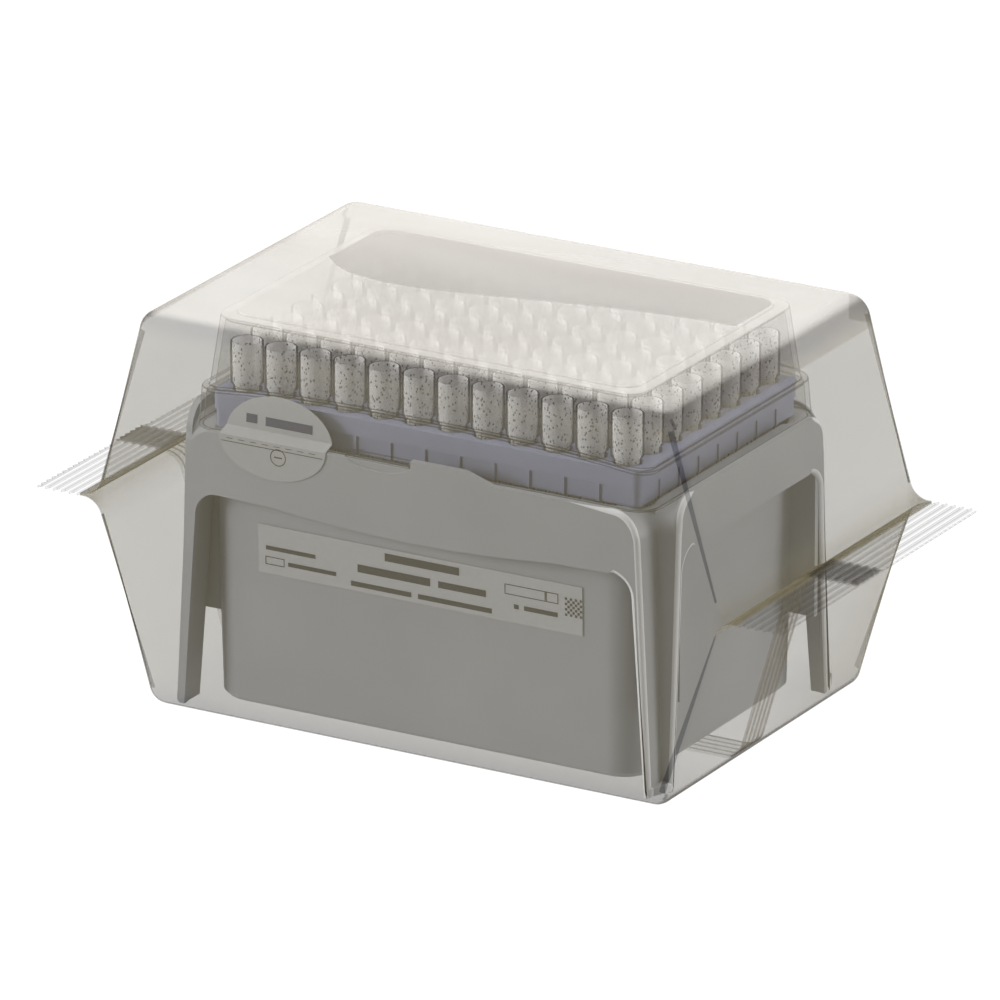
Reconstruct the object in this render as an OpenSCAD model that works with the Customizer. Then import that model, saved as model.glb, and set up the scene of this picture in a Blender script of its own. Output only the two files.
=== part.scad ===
// Sterile rack of 96 large pipette tips, sealed in a clear flow wrap.
// Origin: middle of the underside. X runs along the 12 columns, Y along the 8 rows, +Z is up,
// and the front, with the labels, faces -Y. All sizes are in millimetres.

/* [Tips] */
// Distance between neighbouring tips
pitch = 9; // [8.8:0.1:9.4]
// Number of tips along a row
columns = 12;
// Number of tips in a column
rows = 8;
// Length of a whole tip
tip_length = 79.5; // [74:0.5:81]
// Outer diameter of the collar at the mouth
collar_d = 7.7; // [7:0.1:8.2]
// Height of the collar
collar_h = 9.2; // [6:0.2:10]
// Length of the ribbed neck between the collar and the rack
neck_h = 2.3; // [1.8:0.1:4]
// Outer diameter of the neck
neck_d = 6.4; // [5.8:0.1:6.8]
// Width of a rib on the neck
rib_w = 0.7; // [0.4:0.1:1]
// Outer diameter at the point
point_d = 1.5; // [1.2:0.1:2]
// Wall of a tip
tip_wall = 0.5; // [0.3:0.05:0.6]

/* [Rack tray] */
// Length of the tray
tray_l = 111.4; // [109:0.2:113]
// Width of the tray
tray_w = 74; // [72.8:0.2:75]
// Height of the tray
tray_h = 8.5; // [6:0.5:10]
// Thickness of the tray's top plate
tray_top = 1.6; // [1:0.1:2.5]
// Thickness of the tray's side walls
tray_wall = 1; // [0.8:0.1:1.2]
// Corner radius of the tray
tray_r = 2; // [1.5:0.5:3]
// Height of the ribbed lower band of the tray's sides
tray_band = 4.2; // [3:0.2:5.4]
// How far the lower band stands back from the upper one
tray_step = 0.4; // [0.2:0.1:0.5]
// Width of a rib on the lower band
tray_rib = 0.8; // [0.5:0.1:1.2]
// Clearance between a tip's neck and its hole
hole_gap = 0.15; // [0.1:0.05:0.3]

/* [Base] */
// Length over the side skirts
base_l = 128.8; // [128:0.2:129.2]
// Width over the front and back skirts
base_w = 86; // [84:0.5:88]
// Height of the deck that the tray and lid stand on
deck_h = 66.4; // [64:0.5:67]
// Thickness of the skirts and the deck
base_wall = 1.6; // [1.2:0.1:2]
// Corner notch at the foot, taken off the front skirt
notch_front_foot = 2.5; // [2:0.1:3.2]
// Corner notch at the deck, taken off the front skirt
notch_front_top = 6; // [5:0.1:7]
// Corner notch at the foot, taken off the side skirt
notch_side_foot = 5.6; // [5:0.1:6.6]
// Corner notch at the deck, taken off the side skirt
notch_side_top = 9.1; // [8:0.1:10.4]
// Width of a leg's strips at the foot
strip_foot = 1.8; // [1.6:0.1:2.6]
// Width of a leg's strips at the top of the arches
strip_top = 2.1; // [1.8:0.1:3.2]
// Radius of the skirts' upper corners
shoulder_r = 6.5; // [5:0.5:8]
// Height of the front arch at its corners
front_arch_h = 52.4; // [46:0.5:56]
// How far the middle of the front arch hangs below its corners
arch_sag = 2.4; // [0:0.2:4]
// Height of the side arches
side_arch_h = 56.2; // [48:0.5:58]
// Radius of the arches' corners
arch_r = 5.5; // [3:0.5:7]
// Height of the lip on the front and back skirts above the deck
front_lip = 1; // [0.6:0.1:1.4]
// Height of the lip on the side skirts above the deck
side_lip = 3; // [2:0.2:4]
// Height of the catch on the front lip, above the deck
catch_h = 3.2; // [2.4:0.2:4]
// Length of the catch
catch_l = 14; // [10:1:18]
// Depth of the thumb recess in the front skirt
recess_t = 0.4; // [0.2:0.1:0.7]
// How far the thumb recess reaches below the lip
recess_h = 1.8; // [1:0.1:3]
// Height of the plates that close the notches at the feet
foot_plate = 2; // [1.2:0.1:2.6]
// Chamfer on the outer corners of the feet
foot_chamfer = 0.6; // [0.3:0.1:1]
// Chamfer along the feet's outer edges at both ends
foot_edge = 0.5; // [0.3:0.1:0.9]

/* [Tub] */
// Length of the tub's underside
tub_l = 112; // [111:0.2:113]
// Width of the tub's underside
tub_w = 75.6; // [74:0.2:76.4]
// How far the tub widens on each side, up to the deck
tub_draft = 1.6; // [0.8:0.1:1.8]
// Bevel along the tub's lower edge
tub_bevel = 1.2; // [0.6:0.1:1.4]
// Corner radius of the tub
tub_r = 8; // [6:0.5:9]
// Thickness of the tub's walls and floor
tub_wall = 1.5; // [1.2:0.1:1.8]
// Height of the tub's underside above the feet
tub_lift = 1; // [0.8:0.2:2]
// Height of the lower edge of the corner webs
web_from = 20.2; // [14:1:30]
// Thickness of the corner webs
web_wall = 1.5; // [1:0.1:2]

/* [Lid] */
// Length of the lid at the foot of its skirt
lid_l = 120; // [119:0.2:121]
// Width of the lid at the foot of its skirt
lid_w = 80; // [79:0.2:80.6]
// Height of the lid's skirt at its corners
lid_skirt_h = 9.3; // [8.5:0.1:10]
// How much higher the middle of the front and back skirt is
skirt_crown = 2.5; // [0:0.1:3]
// How far the skirt leans in on each side
skirt_lean = 0.6; // [0.2:0.1:1]
// Width of the ledge above the skirt
ledge = 1.4; // [1:0.1:1.8]
// Height of the whole lid
lid_h = 26.6; // [25.4:0.2:27]
// How far the upper part's ends lean in
end_lean = 2.6; // [1:0.1:2.8]
// How far the upper part's front and back lean in
front_lean = 1; // [0.4:0.1:1.1]
// Wall of the lid
lid_wall = 1.1; // [0.8:0.1:1.2]
// Corner radius of the lid
lid_r = 6; // [5:0.5:7]
// Height of the raised panel on the lid's top
panel_h = 0.5; // [0.3:0.1:0.6]
// Distance from the edge of the lid's top to the raised panel
panel_edge = 3; // [2:0.5:5]
// Height of the frosted field on the raised panel
frost_h = 0.2; // [0.1:0.05:0.3]
// Share of the panel's width that the frosted field covers at its middle
frost_share = 0.42; // [0.3:0.01:0.5]
// Width of the ridge along the frosted field's wave
ridge_w = 1.5; // [0.8:0.1:2.5]
// How far the ridge stands above the frosted field
ridge_top = 0.2; // [0.1:0.05:0.3]
// Length of the thumb tab at the front
tab_l = 17; // [10:1:24]
// Thickness of the thumb tab
tab_t = 0.8; // [0.6:0.1:0.9]
// Clearance between the thumb tab and the base
tab_gap = 0.2; // [0.1:0.05:0.4]

/* [Labels] */
// Length of the oval seal
seal_l = 28; // [20:0.2:30]
// Distance of the seal's middle from the middle of the front, toward -X
seal_x = 36; // [30:0.5:38]
// How far the seal reaches down over the base
seal_down = 8.8; // [6:0.2:10]
// Distance of the seal's top below the lid's ledge
seal_below = 0.3; // [0.2:0.1:2]
// Length of the long label
label_l = 84.6; // [70:0.2:90]
// Height of the long label
label_h = 11.8; // [9:0.2:13]
// Height of the long label's middle above the feet
label_z = 40; // [34:0.5:43]
// Thickness of the labels
label_t = 0.25; // [0.15:0.05:0.3]
// Air between a label and what it lies on
label_gap = 0.04; // [0.02:0.01:0.08]

/* [Film wrap] */
// Thickness of the film
film_t = 0.35; // [0.25:0.05:0.4]
// Half length of the flat underside, to the fold
film_bottom = 67.4; // [67.2:0.1:69]
// Half length of the top, to the fold
film_top = 69; // [67:0.5:71]
// Half length at the roots of the fins
film_root = 83.5; // [82:0.5:86]
// Half length over the fins
film_end = 97.3; // [95:0.5:100]
// Width of the wrap
film_w = 92; // [91:0.5:96]
// Height of the wrap
film_h = 95.2; // [95:0.1:98]
// Height of the fins
fin_z = 47.6; // [44:0.5:52]
// Thickness of a fin
fin_t = 0.7; // [0.5:0.05:0.9]
// Number of ridges across a fin
fin_ridges = 6; // [4:1:8]
// Height of a ridge
ridge_h = 0.5; // [0.2:0.1:0.8]
// Distance between teeth on a fin's cut edge
tooth = 2.3; // [2:0.1:4]
// Depth of a tooth
tooth_depth = 0.9; // [0.4:0.1:1.2]
// Radius of the folds along the top
fold_r = 6; // [5:0.5:7]
// Radius of the folds along the underside
bottom_fold_r = 4.6; // [3:0.1:4.8]
// Radius of the long edges
edge_r = 2.5; // [1.5:0.5:2.6]
// Width of the lap seam
seam_w = 11; // [8:0.5:14]
// Thickness of the lap seam
seam_t = 0.3; // [0.2:0.05:0.4]

/* [Hidden] */
$fn = 48;
far = 400;
floor_z = film_t;
deck_z = floor_z + deck_h;
tray_z = deck_z + tray_h;
tip_z = tray_z + neck_h + collar_h - tip_length;
lid_top_z = deck_z + lid_h;
tub_z = floor_z + tub_lift;
hole_d = neck_d + 2 * hole_gap;
upper_l = lid_l - 2 * (skirt_lean + ledge);
upper_w = lid_w - 2 * (skirt_lean + ledge);
top_l = upper_l - 2 * end_lean;
top_w = upper_w - 2 * front_lean;
lip_z = deck_z + front_lip;
panel_l = top_l - 2 * panel_edge;
panel_w = top_w - 2 * panel_edge;

// The wrap's lower fold starts outside the base's foot, so the room there limits its radius.
fold_corner = [film_bottom - film_t * 0.75, film_t];
fold_turn = turn([0, film_t], fold_corner, [film_root - 2.4 - film_t, fin_z]);
fold_room = film_t + (fold_corner[0] - base_l / 2 + foot_edge) / tan(fold_turn / 2);
foot_fold_r = max(film_t + 0.6, min(bottom_fold_r, fold_room));

// A corner at b, between a and c, rounded to radius r.
function unit(v) = v / norm(v);
function turn(a, b, c) = acos(max(-1, min(1, unit(b - a) * unit(c - b))));
function side(a, b, c) = sign((b - a)[0] * (c - b)[1] - (b - a)[1] * (c - b)[0]);
function left(v) = [-v[1], v[0]];
function corner(a, b, c, r, steps = 8) =
    let (
        angle = turn(a, b, c),
        s = side(a, b, c),
        start = b - unit(b - a) * r * tan(angle / 2),
        centre = start + left(unit(b - a)) * r * s,
        arm = start - centre
    )
    r == 0 ? [b] : [
        for (i = [0 : steps])
            let (t = s * angle * i / steps)
            centre + [arm[0] * cos(t) - arm[1] * sin(t), arm[0] * sin(t) + arm[1] * cos(t)]
    ];
// A polygon whose points are [x, y, corner radius].
function rounded(points) = [
    for (i = [0 : len(points) - 1])
        let (
            n = len(points),
            a = points[(i + n - 1) % n],
            b = points[i],
            c = points[(i + 1) % n]
        )
        for (p = corner([a[0], a[1]], [b[0], b[1]], [c[0], c[1]], b[2])) p
];

// Draws its child's X and Y as X and Z, over the whole depth, or as Y and Z over the whole length.
module along_y(depth) translate([0, depth / 2, 0]) rotate([90, 0, 0]) linear_extrude(depth) children();
module along_x(length) translate([-length / 2, 0, 0]) rotate([90, 0, 90]) linear_extrude(length) children();

module slab(l, w, r, h) {
    linear_extrude(h) {
        square([l - 2 * r, w], center = true);
        square([l, w - 2 * r], center = true);
        for (x = [-1, 1], y = [-1, 1]) translate([x * (l / 2 - r), y * (w / 2 - r)]) circle(r);
    }
}

module four_corners() {
    for (x = [0, 1], y = [0, 1]) mirror([x, 0, 0]) mirror([0, y, 0]) children();
}

// ---- Base ------------------------------------------------------------------------------------
// Outline of a skirt, seen square on: half is its half width at the foot and at the deck.
module skirt_outline(half_foot, half_top, inset) {
    foot = floor_z - (inset > 0 ? 1 : 0);
    chamfer = inset > 0 ? 0 : foot_chamfer;
    top = deck_z - inset;
    polygon(rounded([
        [-half_foot + chamfer, foot, 0], [half_foot - chamfer, foot, 0], [half_foot, foot + chamfer, 0],
        [half_top, top, shoulder_r - inset], [-half_top, top, shoulder_r - inset],
        [-half_foot, foot + chamfer, 0]
    ]));
}

module skirt_cross(inset) {
    x_foot = base_l / 2 - notch_front_foot - inset;
    x_top = base_l / 2 - notch_front_top - inset;
    y_foot = base_w / 2 - notch_side_foot - inset;
    y_top = base_w / 2 - notch_side_top - inset;
    along_y(base_w - 2 * inset) skirt_outline(x_foot, x_top, inset);
    along_x(base_l - 2 * inset) skirt_outline(y_foot, y_top, inset);
}

// The opening under a skirt: full height at its corners, hanging by sag in the middle.
module arch_outline(half_foot, half_top, h, sag) {
    top = floor_z + h;
    polygon(rounded([
        [-half_foot, floor_z - 1, 0], [half_foot, floor_z - 1, 0], [half_top, top, arch_r],
        for (i = [1 : 9]) [half_top * (0.8 - 0.16 * i), top - sag * (1 - pow(0.8 - 0.2 * (i - 1), 2) / 0.8), 0],
        [-half_top, top, arch_r]
    ]));
}

module skirts() {
    x_foot = base_l / 2 - notch_front_foot - strip_foot;
    x_top = base_l / 2 - notch_front_top - strip_top;
    y_foot = base_w / 2 - notch_side_foot - strip_foot;
    y_top = base_w / 2 - notch_side_top - strip_top;
    cut = base_wall + 0.5;
    difference() {
        skirt_cross(0);
        skirt_cross(base_wall);
        for (x = [-1, 1]) translate([x * base_l / 2, 0, floor_z]) rotate([0, 45, 0])
            cube([foot_edge * sqrt(2), far, foot_edge * sqrt(2)], center = true);
        for (y = [-1, 1]) translate([0, y * (base_w / 2 - cut / 2 + 0.5), 0])
            along_y(cut + 1) arch_outline(x_foot, x_top, front_arch_h, arch_sag);
        for (x = [-1, 1]) translate([x * (base_l / 2 - cut / 2 + 0.5), 0, 0])
            along_x(cut + 1) arch_outline(y_foot, y_top, side_arch_h, 0);
    }
}

// The plate that closes a leg's notch at its foot.
module foot_pad() {
    x = base_l / 2;
    y = base_w / 2;
    bite = base_wall / 2;
    translate([0, 0, floor_z + foot_chamfer]) linear_extrude(foot_plate) polygon([
        [x - notch_front_foot - bite, y], [x - notch_front_foot, y],
        [x, y - notch_side_foot], [x, y - notch_side_foot - bite],
        [x - notch_front_foot - bite, y - notch_side_foot - bite]
    ]);
}

// A lip stands on a skirt's top edge and keeps the skirt's rounded corners.
module lip_outline(half_top, lip) {
    polygon(rounded([
        [-half_top, deck_z - shoulder_r, 0], [half_top, deck_z - shoulder_r, 0],
        [half_top, deck_z + lip, shoulder_r], [-half_top, deck_z + lip, shoulder_r]
    ]));
}

// Lips above the deck, with the catch on the front one.
module lips() {
    bite = base_wall / 2;
    for (y = [-1, 1]) translate([0, y * (base_w / 2 - base_wall / 2), 0])
        along_y(base_wall) lip_outline(base_l / 2 - notch_front_top, front_lip);
    for (x = [-1, 1]) translate([x * (base_l / 2 - base_wall / 2), 0, 0])
        along_x(base_wall) lip_outline(base_w / 2 - notch_side_top, side_lip);
    translate([0, -base_w / 2 + base_wall / 2, 0]) along_y(base_wall)
        polygon([
            [0, deck_z - bite], [catch_l * 1.6, deck_z - bite], [catch_l * 1.6, deck_z + front_lip / 2],
            [catch_l, deck_z + catch_h], [0, deck_z + catch_h]
        ]);
}

// The tub's block, which widens from its underside to the deck.
module tub_block(inset) {
    $fn = 32;
    l = tub_l - 2 * inset;
    w = tub_w - 2 * inset;
    r = tub_r - inset;
    low = tub_z + inset;
    hull() {
        translate([0, 0, low]) slab(l - 2 * tub_bevel, w - 2 * tub_bevel, r - tub_bevel, 0.01);
        translate([0, 0, low + tub_bevel]) slab(l, w, r, 0.01);
        translate([0, 0, deck_z - (inset > 0 ? 0 : base_wall / 2)])
            slab(l + 2 * tub_draft, w + 2 * tub_draft, r + tub_draft, 0.01);
    }
    if (inset > 0) translate([0, 0, deck_z]) slab(l + 2 * tub_draft, w + 2 * tub_draft, r + tub_draft, 5);
}

// Thumb recess below the lip, next to the catch.
module thumb_recess() {
    translate([-tab_gap - tab_l / 2, -base_w / 2 + recess_t / 2 - 0.5, 0]) along_y(recess_t + 1) polygon([
        [tab_l / 2, lip_z + 1],
        for (i = [10 : -1 : -10]) [tab_l / 2 * i / 10, lip_z - recess_h * (1 - pow(abs(i) / 10, 2.5))],
        [-tab_l / 2, lip_z + 1]
    ]);
}

module base() color("#96938C") {
    web_x = tub_l / 2 - tub_r / 2;
    web_y = base_w / 2 - notch_side_top - base_wall;
    difference() {
        union() {
            skirts();
            four_corners() foot_pad();
            lips();
            tub_block(0);
            // Webs tie the legs to the tub.
            intersection() {
                skirt_cross(base_wall / 2);
                four_corners() translate([web_x, web_y - web_wall, floor_z + web_from])
                    cube([base_l / 2 - web_x, web_wall, deck_h - web_from - base_wall / 2]);
            }
        }
        tub_block(tub_wall);
        thumb_recess();
    }
}

// ---- Rack tray and tips ----------------------------------------------------------------------
module hole_grid() {
    for (c = [1 : columns], r = [1 : rows])
        translate([(c - (columns + 1) / 2) * pitch, (r - (rows + 1) / 2) * pitch]) children();
}

// Ribs on the tray's lower band, between neighbouring tips.
module tray_ribs() {
    for (c = [1 : columns - 1]) translate([(c - columns / 2) * pitch - tray_rib / 2, -tray_w / 2, 0])
        cube([tray_rib, tray_w, tray_band + 0.2]);
    for (r = [1 : rows - 1]) translate([-tray_l / 2, (r - rows / 2) * pitch - tray_rib / 2, 0])
        cube([tray_l, tray_rib, tray_band + 0.2]);
}

module rack_tray() color("#878796") {
    difference() {
        translate([0, 0, deck_z]) {
            slab(tray_l - 2 * tray_step, tray_w - 2 * tray_step, tray_r - tray_step, tray_h);
            translate([0, 0, tray_band]) slab(tray_l, tray_w, tray_r, tray_h - tray_band);
            tray_ribs();
        }
        translate([0, 0, deck_z - 1])
            slab(tray_l - 2 * tray_wall, tray_w - 2 * tray_wall, tray_r - tray_wall, tray_h - tray_top + 1);
        translate([0, 0, tray_z - tray_top - 1]) linear_extrude(tray_top + 2) hole_grid() circle(d = hole_d);
    }
}

// One tip: a collar, a ribbed neck that stands on the tray, and a long hollow taper.
module tip() {
    mouth = tip_length;
    shoulder = mouth - collar_h;
    seat = shoulder - neck_h;
    under = seat * 0.62;
    difference() {
        union() {
            rotate_extrude($fn = 32) polygon([
                [0, 0], [point_d / 2, 0], [neck_d / 2 * 0.72, under], [neck_d / 2, seat],
                [neck_d / 2, shoulder], [collar_d / 2, shoulder + 0.6], [collar_d / 2, mouth], [0, mouth]
            ]);
            for (a = [0, 90]) rotate(a)
                translate([-collar_d / 2, -rib_w / 2, seat]) cube([collar_d, rib_w, neck_h + 0.6]);
        }
        rotate_extrude($fn = 32) polygon([
            [0, -1], [point_d / 2 - tip_wall * 0.7, -1], [point_d / 2 - tip_wall * 0.7, 0.01],
            [neck_d / 2 * 0.72 - tip_wall, under], [neck_d / 2 - tip_wall, seat],
            [neck_d / 2 - tip_wall, shoulder - 0.4], [collar_d / 2 - tip_wall, shoulder + 0.8],
            [collar_d / 2 - tip_wall, mouth + 1], [0, mouth + 1]
        ]);
    }
}

// The front or back half of one column.
module tips(column, back) color("#C9C7C0") {
    half = rows / 2;
    for (r = [1 : half])
        translate([
            (column - (columns + 1) / 2) * pitch,
            (r + (back ? half : 0) - (rows + 1) / 2) * pitch,
            tip_z
        ]) tip();
}

// ---- Lid -------------------------------------------------------------------------------------
module taper(l0, w0, r0, z0, l1, w1, r1, z1) {
    hull() {
        translate([0, 0, z0]) slab(l0, w0, r0, 0.01);
        translate([0, 0, z1 - 0.01]) slab(l1, w1, r1, 0.01);
    }
}

// Height of the lid's ledge along the front, at a distance x from the middle.
function ledge_z(x) = deck_z + lid_skirt_h + skirt_crown * (1 - pow(abs(x) / (upper_l / 2), 3));

// The wave that ends the frosted field, as a share of the panel's width.
function wave(t) = frost_share * (0.8 - 0.165 * t + 0.34 * pow(sin(180 * pow(t, 0.46)), 2));

// The frosted field and the ridge along its front edge.
module frost_field() {
    steps = 24;
    edge = panel_w / 2 - 0.4;
    half = panel_l / 2 - 0.4;
    r = lid_r - ledge - 0.4;
    linear_extrude(frost_h + 0.1) polygon(rounded([
        [half, edge, r], [-half, edge, r],
        for (i = [0 : steps])
            let (t = i / steps)
            [-half + 2 * half * t, edge - panel_w * wave(t), 0]
    ]));
    linear_extrude(frost_h + ridge_top + 0.1) polygon([
        for (i = [0 : steps])
            let (t = i / steps)
            [-half + 2 * half * t, edge - panel_w * wave(t)],
        for (i = [steps : -1 : 0])
            let (t = i / steps)
            [-half + 2 * half * t, edge - panel_w * wave(t) - ridge_w]
    ]);
}

// Keeps its children under the ledge, which rises to a crown along the front and back.
module under_ledge(drop) {
    steps = 20;
    intersection() {
        children();
        along_y(far) polygon([
            [-far, 0], [far, 0], [far, ledge_z(upper_l / 2) - drop],
            for (i = [steps : -1 : -steps]) let (x = upper_l / 2 * i / steps) [x, ledge_z(x) - drop],
            [-far, ledge_z(upper_l / 2) - drop]
        ]);
    }
}

// The skirt's block, higher than needed so that the ledge can cut it.
module skirt_block(inset, drop) {
    z0 = deck_z - (inset > 0 ? 0.5 : 0);
    z1 = deck_z + lid_skirt_h + skirt_crown + 0.5;
    lean0 = -skirt_lean * (deck_z - z0) / lid_skirt_h + inset;
    lean1 = skirt_lean * (z1 - deck_z) / lid_skirt_h + inset;
    under_ledge(drop)
        taper(lid_l - 2 * lean0, lid_w - 2 * lean0, lid_r - inset, z0,
            lid_l - 2 * lean1, lid_w - 2 * lean1, lid_r - inset, z1);
}

// Thumb tab: a shelf that lies over the base's lip, level with its front.
module thumb_tab() {
    translate([-tab_gap - tab_l, -base_w / 2, lip_z + tab_gap])
        cube([tab_l, (base_w - lid_w) / 2 + lid_wall, tab_t]);
}

module lid() color("#D8D6D0", 0.4) {
    w = lid_wall;
    r = lid_r - ledge / 2;
    skirt_z = deck_z + lid_skirt_h;
    difference() {
        union() {
            skirt_block(0, 0);
            taper(upper_l, upper_w, r, skirt_z - 0.5, top_l, top_w, r, lid_top_z);
            translate([0, 0, lid_top_z - 0.1]) slab(panel_l, panel_w, lid_r - ledge, panel_h + 0.1);
            translate([0, 0, lid_top_z + panel_h - 0.1]) frost_field();
        }
        skirt_block(w, w);
        taper(
            upper_l - 2 * w, upper_w - 2 * w, r - w, skirt_z - w - 0.5,
            top_l - 2 * w, top_w - 2 * w, r - w, lid_top_z - w
        );
    }
    thumb_tab();
}

// ---- Labels ----------------------------------------------------------------------------------

// Half of an oval, above or below its middle.
function half_oval(a, b, up) = [for (i = [0 : 24]) [a * cos(i * 7.5), (up ? b : -b) * sin(i * 7.5)]];

// The seal lies on the lid's skirt, crosses to the base and goes down over its front.
module seal_label() color("#E4E2DC") {
    lid_y = -lid_w / 2 - label_gap;
    // the seal lies over whichever of the base, tub and lid stands furthest forward
    widest = max(base_w, lid_w, tub_w + 2 * tub_draft);
    base_y = -widest / 2 - label_gap;
    lean = skirt_lean / lid_skirt_h;
    rim = lip_z + label_gap;
    cross = rim + 1.2;
    high = ledge_z(seal_x) - seal_below;
    t = label_t;
    translate([-seal_x, 0, 0]) intersection() {
        along_x(seal_l + 1) polygon([
            [base_y, rim - seal_l], [base_y, rim], [lid_y + lean * (cross - deck_z), cross],
            [lid_y + lean * (high - deck_z), high], [lid_y + lean * (high - deck_z) - t, high],
            [lid_y + lean * (cross - deck_z) - t, cross + t], [base_y - t, rim + t],
            [base_y - t, rim - seal_l]
        ]);
        translate([0, 0, rim]) along_y(far)
            polygon(concat(half_oval(seal_l / 2, high - rim, true), half_oval(-seal_l / 2, seal_down, false)));
    }
}

// The long label lies on the front of the tub and leans with it.
module front_label() color("#A9A69F") {
    lean = tub_draft / (deck_h - tub_lift - tub_bevel);
    middle = floor_z + label_z;
    low = middle - label_h / 2;
    high = middle + label_h / 2;
    from = tub_z + tub_bevel;
    y = -tub_w / 2 - label_gap;
    intersection() {
        along_x(label_l) polygon([
            [y - lean * (low - from), low], [y - lean * (high - from), high],
            [y - lean * (high - from) - label_t, high], [y - lean * (low - from) - label_t, low]
        ]);
        translate([0, 0, middle]) along_y(far) square([label_l, label_h], center = true);
    }
}

// ---- Film wrap -------------------------------------------------------------------------------
// Half of the wrap's outline seen from the front, from the underside up, drawn for both sides.
module wrap_outline(inset) {
    top = film_h - inset;
    low = inset;
    b = film_bottom - inset * 0.75;
    t = film_top - inset * 0.8;
    m = film_root - 2.4 - inset;
    polygon(rounded([
        [-b, low, foot_fold_r - inset], [b, low, foot_fold_r - inset], [m, fin_z, 0],
        [t, top, fold_r - inset], [-t, top, fold_r - inset], [-m, fin_z, 0]
    ]));
}

// The wrap seen from its end: a box with rounded long edges.
module wrap_section(inset) {
    r = edge_r - inset;
    w = film_w - 2 * inset;
    h = film_h - 2 * inset;
    translate([0, film_h / 2]) {
        square([w - 2 * r, h], center = true);
        square([w, h - 2 * r], center = true);
        for (y = [-1, 1], z = [-1, 1]) translate([y * (w / 2 - r), z * (h / 2 - r)]) circle(r);
    }
}

module wrap_body(inset) {
    intersection() {
        along_y(film_w - 2 * inset) wrap_outline(inset);
        along_x(far) wrap_section(inset);
    }
}

// A crimped fin: two layers pressed into ridges that run along Y, with a toothed cut edge.
module fin() {
    root = film_root - 5;
    step = (film_end - film_root) / fin_ridges;
    y_end = film_w / 2;
    teeth = floor(film_w / tooth);
    over = fin_t / 2;
    difference() {
        along_y(film_w) polygon([
            [root, fin_z - over],
            for (i = [0 : fin_ridges]) [film_root + step * i, fin_z - over + (i % 2 == 0 ? 0 : ridge_h)],
            for (i = [fin_ridges : -1 : 0]) [film_root + step * i, fin_z + over + (i % 2 == 0 ? 0 : ridge_h)],
            [root, fin_z + over]
        ]);
        translate([0, 0, fin_z - 5]) linear_extrude(10) polygon([
            [film_end + 5, -y_end - 1],
            for (i = [0 : 2 * teeth])
                [film_end - (i % 2 == 0 ? tooth_depth : 0), -y_end + i * film_w / (2 * teeth)],
            [film_end + 5, y_end + 1]
        ]);
    }
}

// Flare that leads a panel into its fin.
module flare() {
    m = film_root - 2.4;
    along_y(film_w) polygon([
        [m - 1.2, fin_z + 4.4], [m + 0.3, fin_z + 1.8], [film_root, fin_z + fin_t / 2],
        [film_root, fin_z - fin_t / 2], [m + 0.3, fin_z - 1.6], [m - 1.4, fin_z - 4.2]
    ]);
}

module film_wrap() color("#C9C5BD", 0.3) {
    difference() {
        union() {
            wrap_body(0);
            for (x = [0, 1]) mirror([x, 0, 0]) {
                flare();
                fin();
            }
        }
        difference() {
            wrap_body(film_t);
            // Lap seam, a doubled band along the underside and up the lower ends.
            difference() {
                translate([-far / 2, -seam_w, -1]) cube([far, seam_w, fin_z + 1]);
                wrap_body(film_t + seam_t);
            }
        }
    }
}

film_wrap();
base();
rack_tray();
lid();
seal_label();
front_label();
tips(1, false);  // tips_01_front
tips(1, true);  // tips_01_back
tips(2, false);  // tips_02_front
tips(2, true);  // tips_02_back
tips(3, false);  // tips_03_front
tips(3, true);  // tips_03_back
tips(4, false);  // tips_04_front
tips(4, true);  // tips_04_back
tips(5, false);  // tips_05_front
tips(5, true);  // tips_05_back
tips(6, false);  // tips_06_front
tips(6, true);  // tips_06_back
tips(7, false);  // tips_07_front
tips(7, true);  // tips_07_back
tips(8, false);  // tips_08_front
tips(8, true);  // tips_08_back
tips(9, false);  // tips_09_front
tips(9, true);  // tips_09_back
tips(10, false);  // tips_10_front
tips(10, true);  // tips_10_back
tips(11, false);  // tips_11_front
tips(11, true);  // tips_11_back
tips(12, false);  // tips_12_front
tips(12, true);  // tips_12_back
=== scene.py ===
"""Dresses a sealed rack of large pipette tips, piece by piece, for its studio picture.

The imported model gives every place. X runs along the twelve columns of tips, Y along the eight rows,
+Z is up, and the front, with the labels, faces -Y. Sizes are in millimetres, and MM turns them into
the scene's metres.
"""

import logging
import math
from contextlib import contextmanager
from dataclasses import dataclass, replace
from enum import Enum
from typing import Callable, Iterator, Sequence

import bmesh
import bpy
from mathutils import Matrix, Vector


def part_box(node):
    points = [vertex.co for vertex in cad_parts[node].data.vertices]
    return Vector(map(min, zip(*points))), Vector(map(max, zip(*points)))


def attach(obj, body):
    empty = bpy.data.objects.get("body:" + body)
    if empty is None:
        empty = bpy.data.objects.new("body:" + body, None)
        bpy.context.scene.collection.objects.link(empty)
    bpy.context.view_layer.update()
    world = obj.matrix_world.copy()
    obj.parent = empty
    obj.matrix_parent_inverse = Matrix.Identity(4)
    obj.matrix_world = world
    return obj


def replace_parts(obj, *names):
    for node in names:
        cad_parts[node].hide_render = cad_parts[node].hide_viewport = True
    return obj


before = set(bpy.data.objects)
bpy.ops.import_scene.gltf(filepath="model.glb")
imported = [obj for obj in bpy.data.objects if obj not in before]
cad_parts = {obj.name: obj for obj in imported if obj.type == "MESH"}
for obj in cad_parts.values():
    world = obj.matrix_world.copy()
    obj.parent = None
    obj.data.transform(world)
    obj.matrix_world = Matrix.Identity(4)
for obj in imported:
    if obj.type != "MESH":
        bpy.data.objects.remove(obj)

Piece = bpy.types.Object
Material = bpy.types.Material
Node = bpy.types.Node
Socket = bpy.types.NodeSocket
Rule = Callable[[Vector], bool]
Point = tuple[float, float]
Span = tuple[float, float]
Values = dict[str | int, object]
Links = dict[str | int, Socket]
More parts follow.
